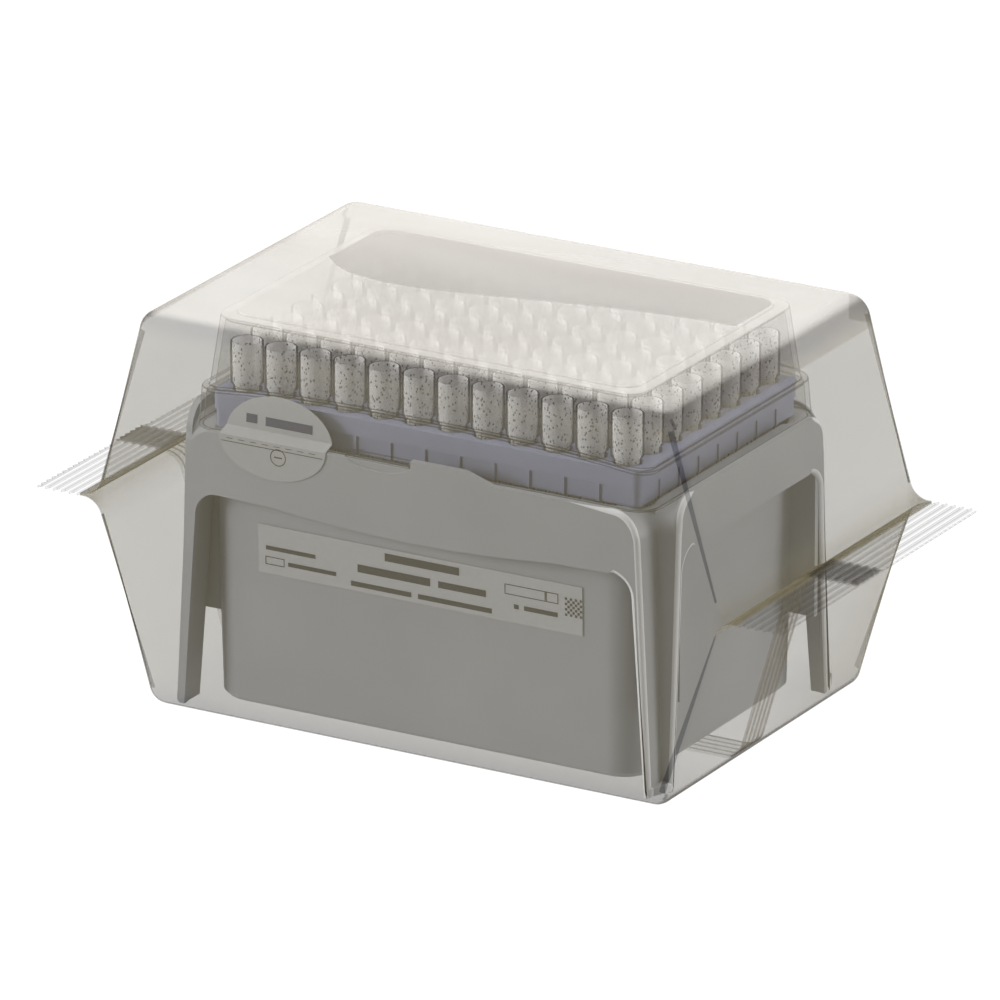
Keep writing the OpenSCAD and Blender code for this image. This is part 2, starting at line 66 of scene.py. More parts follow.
# A flat patch of print: its left end, its lowest height, its length and its height.
Patch = tuple[float, float, float, float]

MM = 0.001
LOG = logging.getLogger("rack_of_tips")
# Corners nearer than this are one, and faces that lean less than this are one flat face.
WELD_MM = 0.002
FLAT_DEGREES = 0.8
# A point this near a plane lies on it.
NEAR_MM = 0.02
# A moulding's sharper edges stay crisp, and its broad faces outweigh narrow ones.
CRISP_DEGREES = 42
BROAD_FACE_WEIGHT = 70
# The mouldings, the film and the tips all refract light as polypropylene does.
POLYPROPYLENE_IOR = 1.49
# Facing runs from 0, square on, to 1, edge on; a thin clear wall thickens between these two.
EDGE_ON = (0.68, 0.95)
# Nearly all the values of a noise lie here.
NOISE_SPAN = (0.3, 0.7)
# Sockets of a colour mix: the factor, both colours, and the result.
MIX_FACTOR, MIX_FIRST, MIX_SECOND, MIX_RESULT = 0, 6, 7, 2


class Element(Enum):
    """What an edit-mode selection picks."""

    VERTEX = (True, False, False)
    EDGE = (False, True, False)
    FACE = (False, False, True)


# ---- Helpers for modelling ----
def select_only(piece: Piece) -> None:
    """Make one object the only one selected, and the active one."""
    for other in bpy.context.selected_objects:
        other.select_set(False)
    piece.select_set(True)
    bpy.context.view_layer.objects.active = piece


@contextmanager
def editing(piece: Piece, element: Element = Element.FACE) -> Iterator[None]:
    """Hold a piece in edit mode with nothing selected.

    Args:
        piece: The object to edit.
        element: What the selections in this block pick.
    """
    select_only(piece)
    bpy.ops.object.mode_set(mode="EDIT")
    bpy.context.tool_settings.mesh_select_mode = element.value
    bpy.ops.mesh.select_all(action="DESELECT")
    yield
    bpy.ops.object.mode_set(mode="OBJECT")


def pick(piece: Piece, element: Element, rule: Rule) -> int:
    """Select the elements whose middle meets a rule, in edit mode.

    Args:
        piece: The object in edit mode.
        element: Whether vertices, edges or faces are picked.
        rule: Takes an element's middle, in millimetres, and says whether it is picked.

    Returns:
        How many elements were picked.
    """
    bpy.context.tool_settings.mesh_select_mode = element.value
    shape = bmesh.from_edit_mesh(piece.data)
    groups = {Element.VERTEX: shape.verts, Element.EDGE: shape.edges, Element.FACE: shape.faces}
    picked = 0
    for item in groups[element]:
        corners = [item] if element is Element.VERTEX else item.verts
        middle = sum((v.co for v in corners), Vector()) / len(corners)
        chosen = rule(middle / MM)
        item.select_set(chosen)
        picked += chosen
    shape.select_flush_mode()
    bmesh.update_edit_mesh(piece.data)
    return picked


def select_all() -> None:
    """Select the whole of a piece, in edit mode."""
    bpy.ops.mesh.select_all(action="SELECT")


def face_outwards() -> None:
    """Select the whole of a piece and turn its faces outwards, in edit mode."""
    select_all()
    bpy.ops.mesh.normals_make_consistent(inside=False)


def apply_place(piece: Piece) -> None:
    """Write an object's place, turn and scale into its mesh."""
    select_only(piece)
    bpy.ops.object.transform_apply(location=True, rotation=True, scale=True)


def apply_modifier(piece: Piece, kind: str, **settings: object) -> None:
    """Add one modifier to a piece, set it, and apply it.

    Args:
        piece: The object that gets the modifier.
        kind: Blender's name for the kind of modifier.
        settings: The modifier's own settings.
    """
    select_only(piece)
    modifier = piece.modifiers.new(kind.title(), kind)
    for name, value in settings.items():
        setattr(modifier, name, value)
    bpy.ops.object.modifier_apply(modifier=modifier.name)


def smooth(piece: Piece, degrees: float) -> None:
    """Shade a piece smooth, with edges sharper than the angle kept crisp."""
    select_only(piece)
    bpy.ops.object.shade_smooth_by_angle(angle=math.radians(degrees))


def soften(
    piece: Piece, width: float, segments: int, degrees: float, finish: int = -1, weighted: bool = False
) -> None:
    """Round a moulding's edges, and keep its broad faces shaded flat up to them.

    Args:
        piece: The moulding.
        width: The bevel's width, in millimetres.
        segments: How many steps the bevel takes.
        degrees: Edges sharper than this are rounded.
        finish: Which of the piece's finishes the rounding takes, or -1 for its neighbours' own.
        weighted: Whether only the edges that carry a bevel weight are rounded, at the full width.
    """
    apply_modifier(
        piece,
        "BEVEL",
        width=width * MM,
        segments=segments,
        limit_method="WEIGHT" if weighted else "ANGLE",
        angle_limit=math.radians(degrees),
        use_clamp_overlap=not weighted,
        material=finish,
    )
    smooth(piece, CRISP_DEGREES)
    apply_modifier(piece, "WEIGHTED_NORMAL", weight=BROAD_FACE_WEIGHT, keep_sharp=True)


def weigh_edges(piece: Piece, degrees: float, top: float) -> None:
    """Give a bevel weight to each sharp edge that lies below a height.

    Args:
        piece: The moulding.
        degrees: Edges sharper than this can carry a weight.
        top: The height that an edge has to stay below, in millimetres.
    """
    shape = bmesh.new()
    shape.from_mesh(piece.data)
    weights = []
    for edge in shape.edges:
        sharp = edge.is_manifold and edge.calc_face_angle() > math.radians(degrees)
        below = max(v.co.z for v in edge.verts) < top * MM
        weights.append(1.0 if sharp and below else 0.0)
    shape.free()
    layer = piece.data.attributes.new("bevel_weight_edge", "FLOAT", "EDGE")
    layer.data.foreach_set("value", weights)


def dress(piece: Piece, *finishes: Material) -> None:
    """Give a piece its finishes, in the order that its faces count them, from the first one on."""
    piece.data.materials.clear()
    for finish in finishes:
        piece.data.materials.append(finish)


def settle(piece: Piece, name: str, casts_shadow: bool = True) -> Piece:
    """Name a finished piece, put its origin at the object's, and let it ride on the body.

    Args:
        piece: The finished object, already dressed.
        name: Its name in the table of pieces.
        casts_shadow: False for thin clear walls, which hardly dim what stands behind them.

    Returns:
        The same object.
    """
    piece.visible_shadow = casts_shadow
    apply_place(piece)
    piece.name = name
    piece.data.name = name
    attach(piece, "root")
    LOG.info("%s: %d faces", name, len(piece.data.polygons))
    return piece


def join(pieces: Sequence[Piece]) -> Piece:
    """Join several objects into the first of them."""
    select_only(pieces[0])
    for piece in pieces[1:]:
        piece.select_set(True)
    bpy.ops.object.join()
    return bpy.context.view_layer.objects.active


def merged_copy(node: str) -> Piece:
    """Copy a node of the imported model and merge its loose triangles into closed, flat faces.

    Args:
        node: The node's name. It is hidden, and the copy stands for it.

    Returns:
        The copy, ready for its bevels.
    """
    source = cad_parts[node]
    copy = source.copy()
    copy.data = source.data.copy()
    copy.parent = None
    copy.matrix_world = Matrix.Identity(4)
    for key in list(copy.keys()):
        del copy[key]
    bpy.context.scene.collection.objects.link(copy)
    with editing(copy, Element.VERTEX):
        select_all()
        bpy.ops.mesh.remove_doubles(threshold=WELD_MM * MM)
        bpy.ops.mesh.dissolve_limited(angle_limit=math.radians(FLAT_DEGREES))
    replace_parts(copy, node)
    return copy


def rounded(points: Sequence[tuple[float, float, float]], steps: int = 8) -> list[Point]:
    """Round the corners of a closed outline.

    Args:
        points: Corners as (x, z, radius).
        steps: How many steps a rounded corner takes.

    Returns:
        The outline's points, with each rounded corner as an arc.
    """
    out: list[Point] = []
    for i, (x, z, radius) in enumerate(points):
        if radius == 0:
            out.append((x, z))
            continue
        corner = Vector((x, z))
        back = (Vector(points[i - 1][:2]) - corner).normalized()
        ahead = (Vector(points[(i + 1) % len(points)][:2]) - corner).normalized()
        turn = math.pi - back.angle(ahead)
        reach = radius * math.tan(turn / 2)
        centre = corner + (back + ahead).normalized() * math.hypot(radius, reach)
        first = corner + back * reach - centre
        last = corner + ahead * reach - centre
        for step in range(steps + 1):
            arm = first.slerp(last, step / steps).normalized() * radius
            out.append((centre.x + arm.x, centre.y + arm.y))
    return out


# ---- Helpers for materials ----
def linear(code: str) -> tuple[float, float, float, float]:
    """Turn an sRGB hex colour into Blender's linear one."""
    channels = [int(code[i : i + 2], 16) / 255 for i in (1, 3, 5)]
    turned = [c / 12.92 if c <= 0.04045 else ((c + 0.055) / 1.055) ** 2.4 for c in channels]
    return (*turned, 1.0)


def new_material(name: str) -> tuple[Material, Node, Socket]:
    """Make a material, and return it with its Principled shader and its object coordinates."""
    material = bpy.data.materials.new(name)
    material.use_nodes = True
    shader = next(n for n in material.node_tree.nodes if n.type == "BSDF_PRINCIPLED")
    return material, shader, add_node(shader, "TexCoord").outputs["Object"]


def wire(node: Node, values: Values | None = None, links: Links | None = None) -> None:
    """Set values on some of a node's own input sockets, and feed others from output sockets."""
    for socket, value in (values or {}).items():
        node.inputs[socket].default_value = value
    for socket, source in (links or {}).items():
        node.id_data.links.new(source, node.inputs[socket])


def add_node(
    member: Node | Socket,
    kind: str,
    settings: dict[str, object] | None = None,
    values: Values | None = None,
    links: Links | None = None,
) -> Node:
    """Add a node with its settings, socket values and links.

    Args:
        member: Any node or socket of the material's tree, which is its id_data.
        kind: Blender's name for the node, without ShaderNode.
        settings: The node's properties.
        values: Values for its input sockets.
        links: Output sockets that feed its input sockets.

    Returns:
        The new node.
    """
    node = member.id_data.nodes.new("ShaderNode" + kind)
    for name, value in (settings or {}).items():
        setattr(node, name, value)
    wire(node, values, links)
    return node


def ramp(source: Socket, positions: Sequence[float], codes: Sequence[str]) -> Socket:
    """Feed a value through a colour ramp, with sRGB hex colours at positions from 0 to 1."""
    node = add_node(source, "ValToRGB", links={"Fac": source})
    elements = node.color_ramp.elements
    for _ in range(len(codes) - len(elements)):
        elements.new(0.5)
    for element, position, code in zip(elements, positions, codes):
        element.position = position
        element.color = linear(code)
    return node.outputs["Color"]


def stretch(source: Socket, span: Span, result: Span) -> Socket:
    """Map a value from one span to another, held at both ends."""
    values = dict(zip(("From Min", "From Max", "To Min", "To Max"), (*span, *result)))
    node = add_node(source, "MapRange", values=values, links={"Value": source})
    return node.outputs["Result"]


def climb(axis: Socket, start: float, length: float, result: Span) -> Socket:
    """Go from one value to another along an axis, over a length from a start, in millimetres."""
    return stretch(axis, (start * MM, (start + length) * MM), result)


def combine(operation: str, *sources: Socket) -> Socket:
    """Return the socket of one sum on its sources, such as ADD or MULTIPLY."""
    settings = {"operation": operation}
    node = add_node(sources[0], "Math", settings, links=dict(enumerate(sources)))
    return node.outputs["Value"]


def noise(place: Socket, size: float, detail: float = 2.0, warp: float = 0.0) -> Socket:
    """Return soft noise from 0 to 1, its clouds about as large as the size in millimetres."""
    values = {"Scale": 1 / (size * MM), "Detail": detail, "Distortion": warp}
    return add_node(place, "TexNoise", values=values, links={"Vector": place}).outputs["Fac"]


def emboss(shader: Node, height: Socket, strength: float, depth: float) -> None:
    """Give a shader relief from a height of 0 to 1 that stands for a depth in millimetres."""
    values = {"Strength": strength, "Distance": depth * MM}
    bump = add_node(shader, "Bump", values=values, links={"Height": height})
    wire(shader, links={"Normal": bump.outputs["Normal"]})


def facing(member: Socket, span: Span, result: Span) -> Socket:
    """Return a value that changes as a wall turns from square on to edge on, between two facings."""
    weight = add_node(member, "LayerWeight", values={"Blend": 0.5})
    return stretch(weight.outputs["Facing"], span, result)


# ---- Finishes ----
@dataclass(frozen=True)
class MouldedPolypropylene:
    """Injection-moulded polypropylene: a satin skin with a fine spark-eroded grain."""

    name: str
    dark: str
    light: str
    roughness: Span = (0.44, 0.53)
    grain_mm: float = 0.6
    cloud_mm: float = 28.0

    def build(self) -> Material:
        """Return the material: faint flow clouds in the colour, and grain in the relief."""
        material, shader, place = new_material(self.name)
        # The melt cools unevenly, so a broad wall isn't quite one tone.
        cloud = noise(place, self.cloud_mm, detail=3.0)
        # Real grain is near 0.1 mm, too fine to show, so it is drawn as coarse as it needs to be.
        grain = noise(place, self.grain_mm)
        emboss(shader, grain, strength=0.01, depth=0.1)
        links = {
            "Base Color": ramp(cloud, NOISE_SPAN, (self.dark, self.light)),
            "Roughness": stretch(grain, NOISE_SPAN, self.roughness),
        }
        wire(shader, {"IOR": POLYPROPYLENE_IOR, "Specular IOR Level": 0.35}, links)
        return material


@dataclass(frozen=True)
class FlowWrapFilm:
    """Cast polypropylene wrapping film: thin, clear and slightly hazy, denser where seen edge on."""

    name: str = "cast_polypropylene_film"
    foot_tint: str = "#3A3226"
    tint: str = "#766F58"
    # The fold's tint is painted shade where the film turns over the top, and the top's tint is painted
    # light from above.
    fold_painted_shade: str = "#463B2C"
    top_painted_light: str = "#F0ECE4"
    # The crease tint is painted shade in the hollows of the creases.
    crease_painted_shade: str = "#EDEBE8"
    # Shares of the height: the foot's tint, both ends of the sides', both of the fold's painted shade,
    # the top's painted light.
    tint_shares: tuple[float, ...] = (0.015, 0.05, 0.93, 0.965, 0.985, 0.999)
    height: float = 95.2
    clear: float = 0.19
    edge: float = 0.75
    gathered: float = 0.12
    gather_from: float = 79.0
    gather_over: float = 3.5
    # This band is painted shade along the top of the right end, where the film turns over it.
    band: Span = (87.8, 94.2)
    band_from: float = 63.5
    band_rise: float = 0.6
    band_fall: float = 0.5
    banded: float = 0.13
    crease_mm: float = 34.0
    crease_span: Span = (0.35, 0.65)
    ridge_axis: str = "X"
    ridge_mm: float = 0.0
    ridge_density: float = 0.0
    ridge_span: Span = (0.55, 0.95)
    # A wave turns by twenty radians in each unit, so a tenth of pi over its pitch draws one ridge.
    ridge_turn: float = 0.314

    def build(self) -> Material:
        """Return the material: haze, soft creases with painted shade in their hollows, a denser look
        with painted shade along the folds, and a painted highlight on the top.
        """
        material, shader, place = new_material(self.name)
        axes = add_node(place, "SeparateXYZ", links={"Vector": place})
        # Film stretched over a box keeps long, soft creases along the way it was drawn.
        drawn = add_node(place, "Mapping", values={"Scale": (0.35, 1.0, 1.0)}, links={"Vector": place})
        crease = noise(drawn.outputs["Vector"], self.crease_mm, warp=0.4)
        emboss(shader, crease, strength=0.12, depth=0.6)
        # Up its height the film is darker at the foot, has its own smoky tint on the slack sides,
        # painted shade where it turns over the top, and a painted highlight on the top, which is lit
        # from above.
        share = climb(axes.outputs["Z"], 0.0, self.height, (0.0, 1.0))
        tints = (self.foot_tint, self.tint, self.tint, self.fold_painted_shade, self.fold_painted_shade, self.top_painted_light)
        tinted = ramp(share, self.tint_shares, tints)
        # Painted shade darkens the hollows of the creases, where their relief is lowest.
        crease_shade = ramp(crease, self.crease_span, (self.crease_painted_shade, "#FFFFFF"))
        colour = add_node(
            place,
            "Mix",
            settings={"data_type": "RGBA", "blend_type": "MULTIPLY"},
            values={MIX_FACTOR: 1.0},
            links={MIX_FIRST: tinted, MIX_SECOND: crease_shade},
        )
        values = {"Roughness": 0.4, "IOR": POLYPROPYLENE_IOR, "Specular IOR Level": 0.08}
        alpha = self.density(axes, place)
        wire(shader, values, {"Base Color": colour.outputs[MIX_RESULT], "Alpha": alpha})
        return material

    def fold_shade_band(self, axes: Node) -> Socket:
        """Return the painted shade along the top of the right end: how much denser the film is where it
        turns over it.
        """
        low, high = self.band
        rise = climb(axes.outputs["Z"], low, self.band_rise, (0.0, self.banded))
        fall = climb(axes.outputs["Z"], high, self.band_fall, (1.0, 0.0))
        outer = climb(axes.outputs["X"], self.band_from, self.band_fall, (0.0, 1.0))
        return combine("MULTIPLY", combine("MULTIPLY", rise, fall), outer)

    def density(self, axes: Node, place: Socket) -> Socket:
        """Return the film's density: more seen edge on, by a fin, in the painted shade along the right
        end's top fold, and along pressed lines.
        """
        # A wall seen edge on has more plastic in the line of sight, as glass has.
        wall = facing(place, EDGE_ON, (self.clear, self.edge))
        # The film gathers where it runs into the crimped fins, left and right.
        side = combine("ABSOLUTE", axes.outputs["X"])
        gather = climb(side, self.gather_from, self.gather_over, (0.0, self.gathered))
        total = combine("ADD", combine("ADD", wall, gather), self.fold_shade_band(axes))
        if self.ridge_density == 0:
            return total
        scale = self.ridge_turn / (self.ridge_mm * MM)
        lines = add_node(
            place,
            "TexWave",
            settings={"bands_direction": self.ridge_axis, "wave_profile": "SIN"},
            values={"Scale": scale, "Distortion": 0.6, "Detail Scale": 30.0},
            links={"Vector": place},
        )
        ridges = stretch(lines.outputs["Fac"], self.ridge_span, (0.0, self.ridge_density))
        return combine("ADD", total, ridges)


@dataclass(frozen=True)
class ClearMoulding:
    """Clear moulded polypropylene for the lid: glassy walls tinted dark as painted shade, a top tinted
    lighter as painted light, and a frosted field on its top.
    """

    name: str = "clear_moulded_polypropylene"
    # The walls' dark tint is painted shade, and the top's lighter tint is painted light from above.
    wall_painted_shade: str = "#5C5B58"
    tint: str = "#D6D4D2"
    frost_tint: str = "#939291"
    top_from: float = 93.0
    top_over: float = 0.3
    frost_from: float = 93.95
    frost_over: float = 0.05
    clear: float = 0.14
    top: float = 0.5
    frosted: float = 0.86
    edge: float = 0.7
    roughness: Span = (0.18, 0.55)
    grit_mm: float = 0.5

    def build(self) -> Material:
        """Return the material: clear below the frosted field's height, and hazy from there up."""
        material, shader, place = new_material(self.name)
        height = add_node(place, "SeparateXYZ", links={"Vector": place}).outputs["Z"]
        frost = climb(height, self.frost_from, self.frost_over, (0.0, 1.0))
        wall = facing(place, EDGE_ON, (self.clear, self.edge))
        # The top is thicker than the walls and scuffed by stacking, so it is hazy.
        top = climb(height, self.top_from, self.top_over, (0.0, self.top - self.clear))
        field = stretch(frost, (0.0, 1.0), (0.0, self.frosted - self.top))
        # Spark-eroded frosting scatters light: real grit is finer than it is drawn here.
        grit = combine("MULTIPLY", noise(place, self.grit_mm), frost)
        emboss(shader, grit, strength=0.2, depth=0.1)
        # The colour goes from the walls' painted shade to the top's painted light, reached on the plain
        # top, and on to the frost's grey on the frosted field.
        plain = climb(height, self.top_from, self.top_over, (0.0, 0.5))
        shade = combine("ADD", stretch(frost, (0.0, 1.0), (0.0, 0.5)), plain)
        tints = (self.wall_painted_shade, self.tint, self.frost_tint)
        links = {
            "Alpha": combine("ADD", wall, combine("ADD", top, field)),
            "Roughness": stretch(frost, (0.0, 1.0), self.roughness),
            "Base Color": ramp(shade, (0.0, 0.5, 1.0), tints),
        }
        wire(shader, {"IOR": POLYPROPYLENE_IOR}, links)
        return material


@dataclass(frozen=True)
class NaturalPolypropylene:
    """Uncoloured polypropylene for the tips: the glossy outside, or the matt, flecked bore."""

    name: str
    tint: str
    wall: float
    edge: float
    roughness: float
    outline: Span = (0.5, 0.82)
    fleck: str = "#2B2A28"
    fleck_mm: float = 0.8
    fleck_share: float = 0.0
    fleck_core: float = 0.8
    fleck_rim: float = 0.001

    def build(self) -> Material:
        """Return the material: a milky wall, denser at its outline, with flecks where it has them."""
        material, shader, place = new_material(self.name)
        # Moulding specks read as short dark flecks along the tip; they are drawn larger than life.
        tall = add_node(place, "Mapping", values={"Scale": (1.0, 1.0, 0.7)}, links={"Vector": place})
        scale = {"Scale": 1 / (self.fleck_mm * MM)}
        speck = add_node(place, "TexVoronoi", values=scale, links={"Vector": tall.outputs["Vector"]})
        ends = (self.fleck_share * self.fleck_core, self.fleck_share + self.fleck_rim)
        values = {"Roughness": self.roughness, "IOR": POLYPROPYLENE_IOR, "Specular IOR Level": 0.2}
        links = {
            "Base Color": ramp(speck.outputs["Distance"], ends, (self.fleck, self.tint)),
            # A clear wall seen edge on is nearly solid, which draws the tip's outline.
            "Alpha": facing(place, self.outline, (self.wall, self.edge)),
        }
        wire(shader, values, links)
        return material


@dataclass(frozen=True)
class LabelFilm:
    """Matt polypropylene label stock: a thin milky film that lets the plastic under it show."""

    name: str
    tint: str
    cover: float
    cover_spread: float = 0.02
    roughness: Span = (0.55, 0.65)
    fibre_mm: float = 1.5

    def build(self) -> Material:
        """Return the material: a matt top coat whose cover and sheen vary a little, as fibre does."""
        material, shader, place = new_material(self.name)
        fibre = noise(place, self.fibre_mm, detail=3.0)
        cover = (self.cover - self.cover_spread, self.cover + self.cover_spread)
        links = {
            "Alpha": stretch(fibre, NOISE_SPAN, cover),
            "Roughness": stretch(fibre, NOISE_SPAN, self.roughness),
        }
        wire(shader, {"Base Color": linear(self.tint)}, links)
        return material


@dataclass(frozen=True)
class LabelInk:
    """Printing ink on a label: a matt, slightly uneven print."""

    name: str
    dark: str
    light: str
    patch_mm: float = 0.4
    patch_span: Span = (0.35, 0.7)
    roughness: float = 0.7

    def build(self) -> Material:
        """Return the material: ink that thins here and there, in patches of under half a millimetre."""
        material, shader, place = new_material(self.name)
        patch = noise(place, self.patch_mm)
        colour = ramp(patch, self.patch_span, (self.dark, self.light))
        wire(shader, values={"Roughness": self.roughness}, links={"Base Color": colour})
        return material


# ---- The object ----
@dataclass
class FilmWrap:
    """The flow wrap: one sleeve of film, drawn into a crimped fin at each end, with a lap seam."""

    half_width: float = 46.0
    height: float = 95.2
    half_bottom: float = 67.4
    half_top: float = 69.0
    half_middle: float = 81.0
    root: float = 85.6
    root_gap: float = 0.3
    fillet_gap: float = 0.35
    fillet: float = 5.0
    fold: float = 6.0
    foot_fold: float = 4.6
    edge: float = 2.5
    edge_steps: int = 5
    edge_clear_of_fin: float = 7.5
    wall: float = 0.16
    # A rounded upright edge is creased where its faces look this much to the front or back.
    crease_turn: Span = (0.6, 0.8)
    crease_lean: float = 0.5
    fin_from: float = 84.6
    fin_to: float = 97.3
    fin_height: float = 47.6
    fin_wall: float = 0.45
    ridges: int = 6
    ridge: float = 0.5
    ridge_steps: int = 4
    tooth: float = 2.3
    tooth_depth: float = 0.9
    seam: Span = (-11.5, -0.5)
    seam_lines: int = 5
    seam_depth: float = 0.55
    seam_ridge: float = 0.2
    seam_wall: float = 0.12
    seam_eye: float = 8.0
    lap_lift: float = 0.5

    def outline(self) -> list[Point]:
        """Return the sleeve's outline seen from the front, both sides, from the underside round."""
        middle = self.fin_height
        right = [
            (self.half_bottom, 0.0, self.foot_fold),
            (self.half_middle, middle - self.fillet_gap, self.fillet),
            (self.root, middle - self.root_gap, 0.0),
            (self.root, middle + self.root_gap, 0.0),
            (self.half_middle, middle + self.fillet_gap, self.fillet),
            (self.half_top, self.height, self.fold),
        ]
        left = [(-x, z, radius) for x, z, radius in reversed(right)]
        return rounded(right + left)

    def sleeve(self) -> Piece:
        """Return the sleeve: its outline drawn out along Y, with soft long edges and a thin wall."""
        outline = self.outline()
        bpy.ops.mesh.primitive_circle_add(vertices=len(outline), radius=MM, fill_type="NGON")
        piece = bpy.context.object
        for vertex, (x, z) in zip(piece.data.vertices, outline):
            vertex.co = Vector((x, -self.half_width, z)) * MM

        def on_long_edge(m: Vector) -> bool:
            outermost = abs(m.y) > self.half_width - NEAR_MM
            return outermost and abs(m.z - self.fin_height) > self.edge_clear_of_fin

        with editing(piece):
            select_all()
            drawn = (0, 2 * self.half_width * MM, 0)
            bpy.ops.mesh.extrude_region_move(TRANSFORM_OT_translate={"value": drawn})
            face_outwards()
            pick(piece, Element.EDGE, on_long_edge)
            bpy.ops.mesh.bevel(offset=self.edge * MM, segments=self.edge_steps)
        apply_modifier(piece, "SOLIDIFY", thickness=self.wall * MM, offset=-1.0)
        smooth(piece, degrees=38)
        return piece

    def mark_creases(self, sleeve: Piece) -> None:
        """Give the creased finish to the middle of each upright rounded edge, where film is folded."""
        low, high = self.crease_turn
        for face in sleeve.data.polygons:
            upright = abs(face.normal.z) < self.crease_lean
            face.material_index = 1 if upright and low < abs(face.normal.y) < high else 0

    def fin(self, side: int) -> Piece:
        """Return a fin, left for -1: two layers pressed into ridges along Y, with a pinked edge."""
        teeth = round(2 * self.half_width / self.tooth)
        steps = self.ridges * self.ridge_steps
        bpy.ops.mesh.primitive_grid_add(x_subdivisions=steps, y_subdivisions=2 * teeth, size=MM)
        piece = bpy.context.object
        span = self.fin_to - self.fin_from
        for vertex in piece.data.vertices:
            along = vertex.co.x / MM + 0.5
            across = vertex.co.y / MM
            wave = math.sin(2 * math.pi * self.ridges * along) * self.ridge / 2
            vertex.co = Vector((self.fin_from + span * along, 2 * self.half_width * across, wave)) * MM
        pitch = self.half_width / teeth

        def between_teeth(m: Vector) -> bool:
            at_edge = m.x > self.fin_to - NEAR_MM
            return at_edge and round((m.y + self.half_width) / pitch) % 2 == 1

        with editing(piece, Element.VERTEX):
            pick(piece, Element.VERTEX, between_teeth)
            bpy.ops.transform.translate(value=(-self.tooth_depth * MM, 0, 0))
            select_all()
            bpy.ops.transform.translate(value=(0, 0, self.fin_height * MM))
        apply_modifier(piece, "SOLIDIFY", thickness=self.fin_wall * MM, offset=0.0)
        if side < 0:
            self.mirror(piece)
        smooth(piece, degrees=50)
        return piece

    def mirror(self, piece: Piece) -> None:
        """Mirror a closed piece to the other end and turn its faces outwards again."""
        with editing(piece, Element.VERTEX):
            select_all()
            bpy.ops.transform.mirror(constraint_axis=(True, False, False), center_override=(0, 0, 0))
            face_outwards()

    def lap_seam(self) -> Piece:
        """Return the lap seam: a doubled band of film with fine pressed lines, under and up the ends."""
        inner = [p for p in self.outline() if p[1] < self.fin_height - self.root_gap + NEAR_MM]
        # From a point above the fins, the outline below them is passed in order from left to right.
        eye = self.fin_height + self.seam_eye
        path = sorted(inner, key=lambda p: math.atan2(p[0], eye - p[1]))
        last = len(path) - 1
        rows = 2 * self.seam_lines
        bpy.ops.mesh.primitive_grid_add(x_subdivisions=last, y_subdivisions=rows, size=MM)
        piece = bpy.context.object
        low, high = self.seam
        for vertex in piece.data.vertices:
            row = round((vertex.co.y / MM + 0.5) * rows)
            x, z = path[round((vertex.co.x / MM + 0.5) * last)]
            inward = Vector((-x, 0, self.fin_height - z)).normalized()
            depth = self.seam_depth + self.seam_ridge * (row % 2)
            y = low + (high - low) * row / rows
            vertex.co = (Vector((x, y, z)) + inward * depth) * MM
        apply_modifier(piece, "SOLIDIFY", thickness=self.seam_wall * MM, offset=0.0)
        smooth(piece, degrees=25)
        return piece

    def fin_lap(self, side: int) -> Piece:
        """Return the lap seam's run through a fin, left for -1: a second toothed strip on its ridges."""
        piece = self.fin(1)
        low, high = self.seam
        with editing(piece):
            pick(piece, Element.FACE, lambda m: not low < m.y < high)
            bpy.ops.mesh.delete(type="FACE")
            select_all()
            bpy.ops.transform.translate(value=(0, 0, self.lap_lift * MM))
        if side < 0:
            self.mirror(piece)
        return piece

    def build(self) -> None:
        """Build the sleeve, fins and lap seam as pieces that together stand for the wrap's solid."""
        # Film creased along a folded edge is darker and denser than the flat film beside it.
        creased = FlowWrapFilm(name="creased_polypropylene_film", tint="#3C362B", clear=0.36)
        sleeve = self.sleeve()
        dress(sleeve, FlowWrapFilm().build(), creased.build())
        self.mark_creases(sleeve)
        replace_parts(settle(sleeve, "film_wrap_sleeve", casts_shadow=False), "film_wrap")
        # Crimping draws fine lines on the fins, which are darkest where the film is doubled.
        crest = (self.fin_to - self.fin_from) / self.ridges / 2
        pressed = FlowWrapFilm(gathered=0.0, ridge_mm=crest, ridge_density=0.3)
        name = "crimped_polypropylene_film"
        crimped = replace(pressed, name=name, tint="#2F2B25", clear=0.02, edge=0.4, ridge_density=0.2)
        name = "doubled_crimped_polypropylene_film"
        doubled = replace(pressed, name=name, tint="#2B2722", clear=0.3)
        # The lap's two layers, pressed into lines along its run, are browner than one layer.
        name = "lapped_polypropylene_film"
        line = (self.seam[1] - self.seam[0]) / self.seam_lines
        lapped = replace(pressed, name=name, tint="#544939", clear=0.1, ridge_axis="Y", ridge_mm=line)
        crimp, double, lap = crimped.build(), doubled.build(), lapped.build()
        for piece, finish, name in (
            (self.fin(-1), crimp, "film_wrap_fin_left"),
            (self.fin_lap(-1), double, "film_wrap_fin_lap_left"),
            (self.fin(1), crimp, "film_wrap_fin_right"),
            (self.fin_lap(1), double, "film_wrap_fin_lap_right"),
            (self.lap_seam(), lap, "film_wrap_lap_seam"),
        ):
            dress(piece, finish)
            settle(piece, name, casts_shadow=False)


